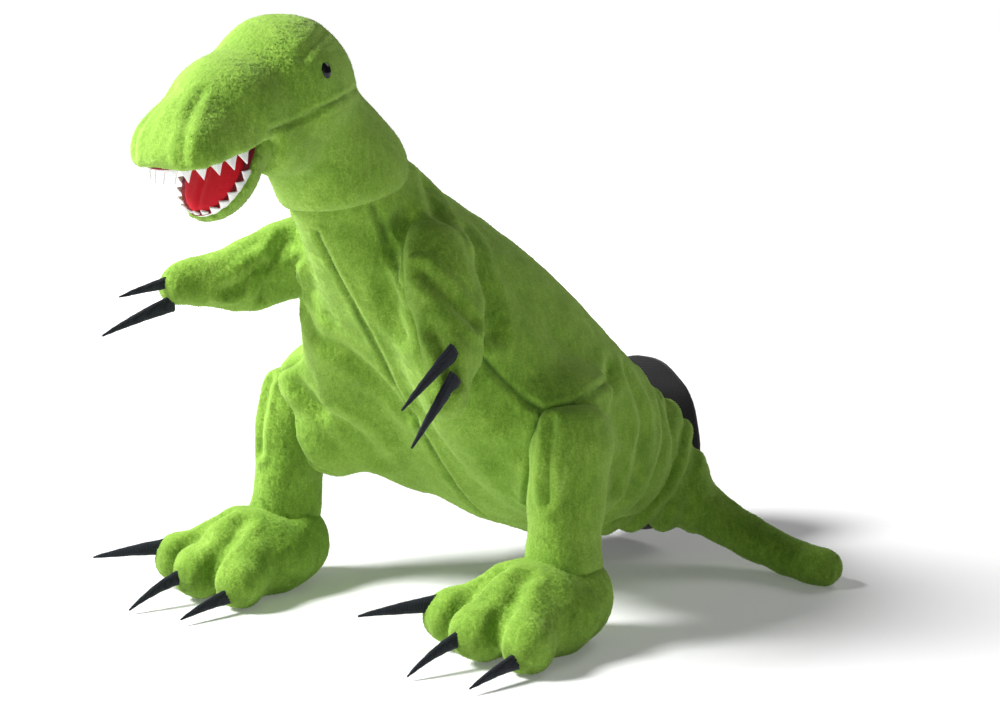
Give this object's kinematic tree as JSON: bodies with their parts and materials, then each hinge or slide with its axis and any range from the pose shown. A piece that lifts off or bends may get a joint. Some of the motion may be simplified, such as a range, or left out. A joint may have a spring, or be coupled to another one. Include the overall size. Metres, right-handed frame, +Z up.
{
  "type": "plush dinosaur hand puppet",
  "caption": "Standing plush dinosaur hand puppet with an arm sleeve at the rear, moving mouth, felt claws and teeth, stuffed legs and arms, and a tail that rests on the ground.",
  "frame": {"origin": "on the ground, under the middle of the whole puppet's box", "axes": "+Z up; -Y is where the dinosaur faces; +X is the dinosaur's own left side"},
  "size_m": [0.373, 0.4682, 0.3958],
  "materials": {
    "green_plush": "short brushed pile, lighter where the pile catches light",
    "black_felt": "pressed felt, matt",
    "white_felt": "pressed felt, matt",
    "mouth_cloth": "smooth knitted lining, satin",
    "tongue_cloth": "smooth knitted lining, satin",
    "black_sleeve": "plain woven lining, matt",
    "stuffing": "loose polyester fibre",
    "eye_gloss": "polished",
    "washer_plastic": "as moulded",
    "stiffener_board": "pressed board, matt"
  },
  "bodies": {
    "torso": {"back_panel_left": "green_plush", "back_panel_right": "green_plush", "belly_panel_left": "green_plush", "belly_panel_right": "green_plush", "arm_sleeve": "black_sleeve"},
    "neck": {"neck_skin_left": "green_plush", "neck_skin_right": "green_plush", "neck_lining": "black_sleeve"},
    "head": {"crown_panel_left": "green_plush", "crown_panel_right": "green_plush", "head_padding": "stuffing", "finger_pocket": "black_sleeve", "upper_mouth_lining": "mouth_cloth", "upper_palate_board": "stiffener_board", "upper_teeth_strip": "white_felt", "left_eye": "eye_gloss", "left_eye_washer": "washer_plastic", "right_eye": "eye_gloss", "right_eye_washer": "washer_plastic"},
    "jaw": {"chin_panel": "green_plush", "lower_mouth_lining": "mouth_cloth", "lower_palate_board": "stiffener_board", "thumb_pocket": "black_sleeve", "tongue": "tongue_cloth", "lower_teeth_strip": "white_felt"},
    "left_arm": {"left_arm_skin": "green_plush", "left_arm_stuffing": "stuffing", "left_hand_claw_inner": "black_felt", "left_hand_claw_outer": "black_felt"},
    "left_leg": {"left_leg_skin": "green_plush", "left_leg_stuffing": "stuffing"},
    "left_foot": {"left_foot_skin": "green_plush", "left_foot_stuffing": "stuffing", "left_foot_sole": "green_plush", "left_foot_claw_inner": "black_felt", "left_foot_claw_middle": "black_felt", "left_foot_claw_outer": "black_felt"},
    "right_arm": {"right_arm_skin": "green_plush", "right_arm_stuffing": "stuffing", "right_hand_claw_inner": "black_felt", "right_hand_claw_outer": "black_felt"},
    "right_leg": {"right_leg_skin": "green_plush", "right_leg_stuffing": "stuffing"},
    "right_foot": {"right_foot_skin": "green_plush", "right_foot_stuffing": "stuffing", "right_foot_sole": "green_plush", "right_foot_claw_inner": "black_felt", "right_foot_claw_middle": "black_felt", "right_foot_claw_outer": "black_felt"},
    "tail_base": {"tail_base_skin": "green_plush"},
    "tail": {"tail_skin": "green_plush", "tail_stuffing": "stuffing"}
  },
  "joints": [
    {"name": "neck_turn", "type": "hinge", "parent": "torso", "child": "neck", "pos_m": [0.00426, -0.06923, 0.27724], "axis": [0, -0.6417, 0.7669], "range_deg": [-30, 30], "stiffness_Nm_per_rad": 1.5},
    {"name": "head_nod", "type": "hinge", "parent": "neck", "child": "head", "pos_m": [0.00426, -0.10723, 0.32224], "axis": [1, 0, 0], "range_deg": [-18, 18], "stiffness_Nm_per_rad": 1.5},
    {"name": "jaw_open", "type": "hinge", "parent": "head", "child": "jaw", "pos_m": [0.00426, -0.17523, 0.32624], "axis": [1, 0, 0], "range_deg": [-30, 8], "stiffness_Nm_per_rad": 0.3},
    {"name": "left_arm_swing", "type": "hinge", "parent": "torso", "child": "left_arm", "pos_m": [0.07626, -0.06323, 0.23824], "axis": [1, 0, 0], "range_deg": [-30, 30], "stiffness_Nm_per_rad": 0.5},
    {"name": "left_leg_swing", "type": "hinge", "parent": "torso", "child": "left_leg", "pos_m": [0.11826, 0.00477, 0.13624], "axis": [1, 0, 0], "range_deg": [-22, 22], "stiffness_Nm_per_rad": 12},
    {"name": "left_ankle", "type": "hinge", "parent": "left_leg", "child": "left_foot", "pos_m": [0.12226, -0.00823, 0.05024], "axis": [1, 0, 0], "range_deg": [-12, 12], "stiffness_Nm_per_rad": 12},
    {"name": "right_arm_swing", "type": "hinge", "parent": "torso", "child": "right_arm", "pos_m": [-0.06774, -0.06323, 0.23824], "axis": [1, 0, 0], "range_deg": [-30, 30], "stiffness_Nm_per_rad": 0.5},
    {"name": "right_leg_swing", "type": "hinge", "parent": "torso", "child": "right_leg", "pos_m": [-0.10974, -0.01923, 0.13624], "axis": [1, 0, 0], "range_deg": [-22, 22], "stiffness_Nm_per_rad": 12},
    {"name": "right_ankle", "type": "hinge", "parent": "right_leg", "child": "right_foot", "pos_m": [-0.11374, -0.03223, 0.05024], "axis": [1, 0, 0], "range_deg": [-12, 12], "stiffness_Nm_per_rad": 12},
    {"name": "tail_swing", "type": "hinge", "parent": "torso", "child": "tail_base", "pos_m": [0.07226, 0.15077, 0.07724], "axis": [0, 0.53, 0.848], "range_deg": [-22, 5], "stiffness_Nm_per_rad": 3},
    {"name": "tail_lift", "type": "hinge", "parent": "tail_base", "child": "tail", "pos_m": [0.07826, 0.19977, 0.04224], "axis": [0.5322, -0.8466, 0], "range_deg": [-5, 28], "stiffness_Nm_per_rad": 1.5}
  ]
}
